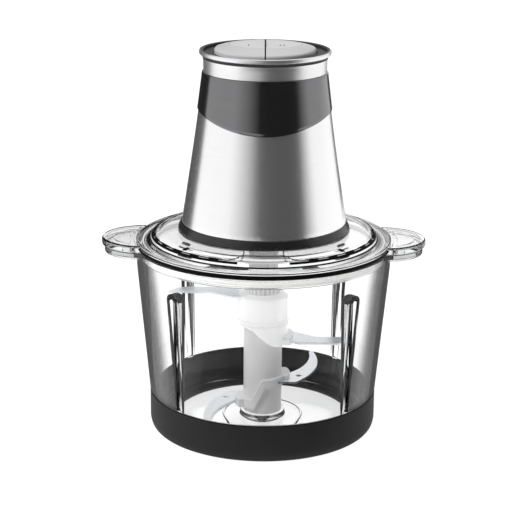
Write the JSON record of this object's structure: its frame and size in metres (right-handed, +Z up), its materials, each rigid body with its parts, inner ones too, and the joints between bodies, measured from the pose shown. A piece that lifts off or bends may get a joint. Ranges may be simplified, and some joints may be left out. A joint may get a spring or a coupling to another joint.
{
  "type": "electric food chopper",
  "caption": "Electric food chopper with a clear tapered bowl, eared lid, lift-off steel motor unit, geared drive and a tower of blades at stepped heights.",
  "frame": {"origin": "centre of the base ring's bottom face, on the table", "axes": "+Z up through the motor and blade axis, the ears lie along X, -Y is the front"},
  "size_m": [0.248, 0.195, 0.2991],
  "materials": {
    "clear_bowl": "gloss",
    "clear_lid": "gloss",
    "base_rubber": "satin",
    "brushed_sleeve": "brushed",
    "gloss_black": "gloss",
    "black_plastic": "satin",
    "deck_grey": "satin",
    "button_silver": "satin",
    "tower_plastic": "satin",
    "collar_plastic": "satin",
    "blade_steel": "polished",
    "steel": "polished",
    "lamination": "satin",
    "copper": "satin",
    "bronze": "satin",
    "cast_alloy": "satin",
    "gear_plastic": "satin",
    "seal_rubber": "satin",
    "black_rubber": "matte",
    "board_green": "satin",
    "carbon": "matte",
    "brush_brass": "satin",
    "phenolic": "satin"
  },
  "bodies": {
    "bowl_body": {"bowl": "clear_bowl", "base_ring": "base_rubber", "bowl_spindle": "steel"},
    "lid_body": {"lid": "clear_lid", "lid_seal": "seal_rubber"},
    "motor_unit": {"base_cover": "black_plastic", "housing_sleeve": "brushed_sleeve", "shoulder_band": "gloss_black", "top_collar": "brushed_sleeve", "deck_plate": "deck_grey", "chassis": "black_plastic", "gear_case": "cast_alloy", "ring_gear": "gear_plastic", "gear_cover": "cast_alloy", "output_bush": "bronze", "output_seal": "black_rubber", "lower_bearing": "steel", "upper_bearing": "steel", "stator_core": "lamination", "field_coils": "copper", "bearing_bridge": "cast_alloy", "brush_plate": "phenolic", "brush_holders": "brush_brass", "carbon_brushes": "carbon", "brush_springs": "steel", "circuit_board": "board_green", "speed_switches": "black_plastic", "cord_gland": "black_rubber", "cover_screws": "steel", "gear_screws": "steel", "motor_bolts": "steel", "motor_dampers": "black_rubber", "button_spring_left": "steel", "button_spring_right": "steel"},
    "rotor": {"motor_shaft": "steel", "armature_core": "lamination", "armature_windings": "copper", "commutator": "copper", "cooling_fan": "black_plastic", "sun_pinion": "steel"},
    "output": {"planet_carrier": "steel", "planet_pins": "steel", "carrier_ring": "steel", "output_shaft": "steel", "drive_coupling": "collar_plastic"},
    "planet_1": {"planet_gear_1": "gear_plastic"},
    "planet_2": {"planet_gear_2": "gear_plastic"},
    "planet_3": {"planet_gear_3": "gear_plastic"},
    "blades": {"blade_tower": "tower_plastic", "tower_bush": "bronze", "lower_blade_left": "blade_steel", "lower_blade_right": "blade_steel", "upper_blade_left": "blade_steel", "upper_blade_right": "blade_steel", "blade_collar": "collar_plastic"},
    "left_button": {"button_left": "button_silver"},
    "right_button": {"button_right": "button_silver"}
  },
  "joints": [
    {"name": "lid_lift", "type": "slide", "parent": "bowl_body", "child": "lid_body", "axis": [0, 0, 1], "range_m": [0, 0.16]},
    {"name": "motor_lift", "type": "slide", "parent": "lid_body", "child": "motor_unit", "axis": [0, 0, 1], "range_m": [0, 0.06]},
    {"name": "output_spin", "type": "hinge", "parent": "motor_unit", "child": "output", "pos_m": [0, 0, 0.165], "axis": [0, 0, 1], "continuous": true},
    {"name": "rotor_spin", "type": "hinge", "parent": "motor_unit", "child": "rotor", "pos_m": [0, 0, 0.22], "axis": [0, 0, 1], "continuous": true},
    {"name": "planet_1_spin", "type": "hinge", "parent": "output", "child": "planet_1", "pos_m": [0.0165, 0, 0.174], "axis": [0, 0, 1], "continuous": true},
    {"name": "planet_2_spin", "type": "hinge", "parent": "output", "child": "planet_2", "pos_m": [-0.00825, 0.01429, 0.174], "axis": [0, 0, 1], "continuous": true},
    {"name": "planet_3_spin", "type": "hinge", "parent": "output", "child": "planet_3", "pos_m": [-0.00825, -0.01429, 0.174], "axis": [0, 0, 1], "continuous": true},
    {"name": "blade_spin", "type": "hinge", "parent": "bowl_body", "child": "blades", "pos_m": [0, 0, 0.05], "axis": [0, 0, 1], "continuous": true},
    {"name": "left_press", "type": "slide", "parent": "motor_unit", "child": "left_button", "axis": [0, 0, -1], "range_m": [0, 0.0026], "stiffness_N_per_m": 600, "springref_m": -0.001, "deforming": ["button_spring_left"]},
    {"name": "right_press", "type": "slide", "parent": "motor_unit", "child": "right_button", "axis": [0, 0, -1], "range_m": [0, 0.0026], "stiffness_N_per_m": 600, "springref_m": -0.001, "deforming": ["button_spring_right"]}
  ],
  "couplings": [
    {"joint": "rotor_spin", "follows": "output_spin", "ratio": 5.5},
    {"joint": "planet_1_spin", "follows": "output_spin", "ratio": -2.5714},
    {"joint": "planet_2_spin", "follows": "output_spin", "ratio": -2.5714},
    {"joint": "planet_3_spin", "follows": "output_spin", "ratio": -2.5714},
    {"joint": "blade_spin", "follows": "output_spin", "ratio": 1}
  ]
}
